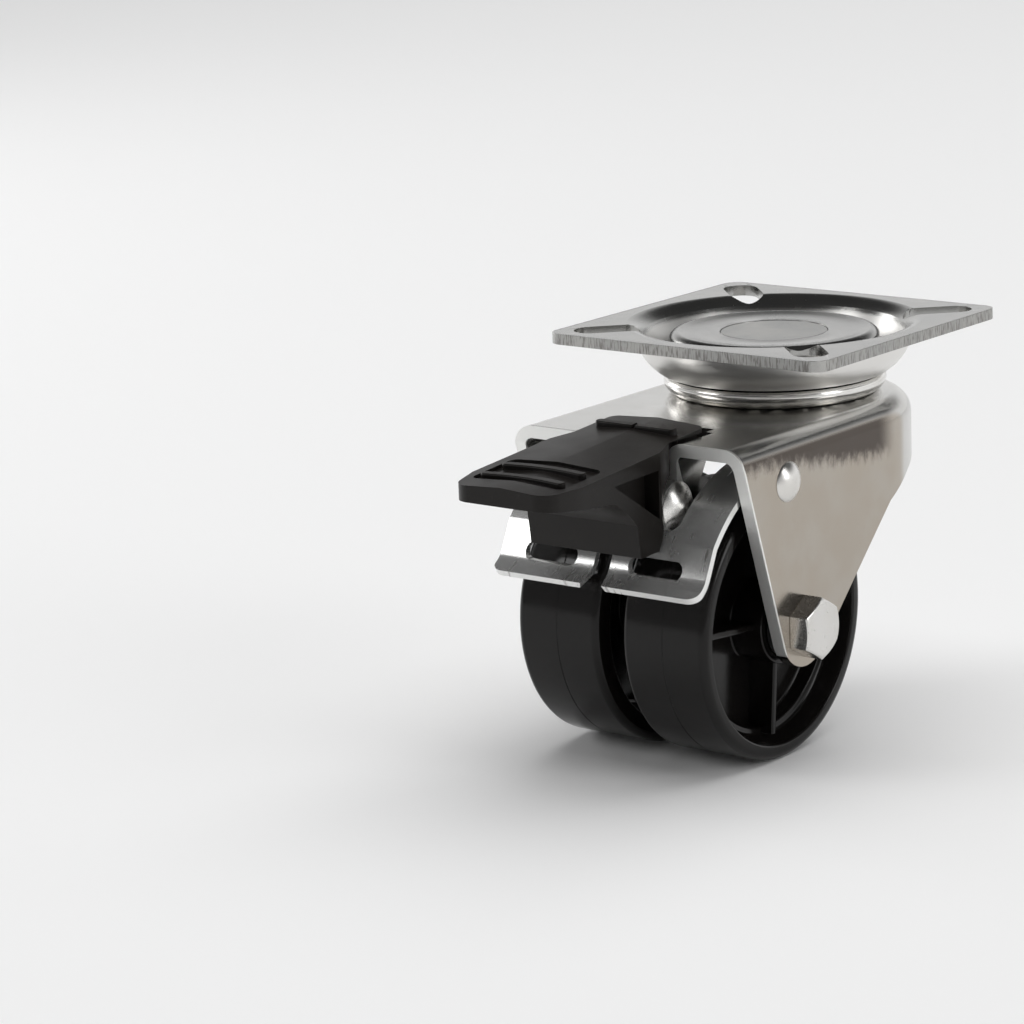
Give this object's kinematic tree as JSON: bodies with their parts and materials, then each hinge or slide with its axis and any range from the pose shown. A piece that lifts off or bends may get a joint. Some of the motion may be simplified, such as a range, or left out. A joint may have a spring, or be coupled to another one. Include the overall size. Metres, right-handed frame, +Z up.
{
  "type": "twin-wheel plate caster with foot brake",
  "caption": "Low twin-wheel swivel caster with a square slotted top plate, pressed steel fork, bolt axle and a foot pedal that presses a steel leaf onto both treads.",
  "frame": {"origin": "centre of the top plate's mounting face, on the swivel axis", "axes": "+Z up out of the mounting face, X along the wheels' axle, the pedal reaches towards -Y"},
  "size_m": [0.0623, 0.1131, 0.0734],
  "materials": {
    "plated_plate": "zinc-plated sheet, satin",
    "polished_steel": "polished zinc plate",
    "fork_sheet": "zinc-plated sheet, satin with a fine grain",
    "leaf_sheet": "bright plate, mirror-like",
    "fastener": "bright zinc plate",
    "wheel_plastic": "black nylon, semi-gloss",
    "pedal_plastic": "black nylon, fine moulded texture",
    "bearing_steel": "hardened balls",
    "spring_steel": "bare spring wire",
    "white_nylon": "natural nylon",
    "insert_nylon": "blue nylon"
  },
  "bodies": {
    "plate": {"top_plate": "plated_plate", "kingpin": "polished_steel", "lower_cup": "bearing_steel"},
    "upper_bearing": {"upper_balls": "bearing_steel"},
    "lower_bearing": {"lower_balls": "bearing_steel"},
    "swivel": {"fork": "fork_sheet", "race_ring": "polished_steel", "axle_bolt": "fastener", "axle_nut": "fastener", "nut_insert": "insert_nylon", "axle_sleeve": "fastener", "wheel_spacer": "white_nylon", "end_washers": "white_nylon", "pedal_pin": "fastener", "leaf_rivets": "fastener", "leaf_washers": "fastener"},
    "wheel_left_body": {"wheel_left": "wheel_plastic"},
    "wheel_right_body": {"wheel_right": "wheel_plastic"},
    "pedal": {"brake_pedal": "pedal_plastic", "pedal_spring": "spring_steel"},
    "leaf": {"brake_leaf": "leaf_sheet"}
  },
  "joints": [
    {"name": "swivel_turn", "type": "hinge", "parent": "plate", "child": "swivel", "pos_m": [0, 0, 0], "axis": [0, 0, 1], "continuous": true},
    {"name": "upper_balls_turn", "type": "hinge", "parent": "plate", "child": "upper_bearing", "pos_m": [0, 0, 0], "axis": [0, 0, 1], "continuous": true},
    {"name": "lower_balls_turn", "type": "hinge", "parent": "plate", "child": "lower_bearing", "pos_m": [0, 0, 0], "axis": [0, 0, 1], "continuous": true},
    {"name": "left_wheel_spin", "type": "hinge", "parent": "swivel", "child": "wheel_left_body", "pos_m": [0, -0.0285, -0.0484], "axis": [1, 0, 0], "continuous": true},
    {"name": "right_wheel_spin", "type": "hinge", "parent": "swivel", "child": "wheel_right_body", "pos_m": [0, -0.0285, -0.0484], "axis": [1, 0, 0], "continuous": true},
    {"name": "pedal_tilt", "type": "hinge", "parent": "swivel", "child": "pedal", "pos_m": [0, -0.0468, -0.0244], "axis": [1, 0, 0], "range_deg": [0, 18]},
    {"name": "leaf_press", "type": "hinge", "parent": "swivel", "child": "leaf", "pos_m": [0, -0.033, -0.0212], "axis": [1, 0, 0], "range_deg": [0, 8.3]}
  ],
  "couplings": [
    {"joint": "upper_balls_turn", "follows": "swivel_turn", "ratio": 0.5},
    {"joint": "lower_balls_turn", "follows": "swivel_turn", "ratio": 0.5},
    {"joint": "leaf_press", "follows": "pedal_tilt", "ratio": 0.46}
  ]
}
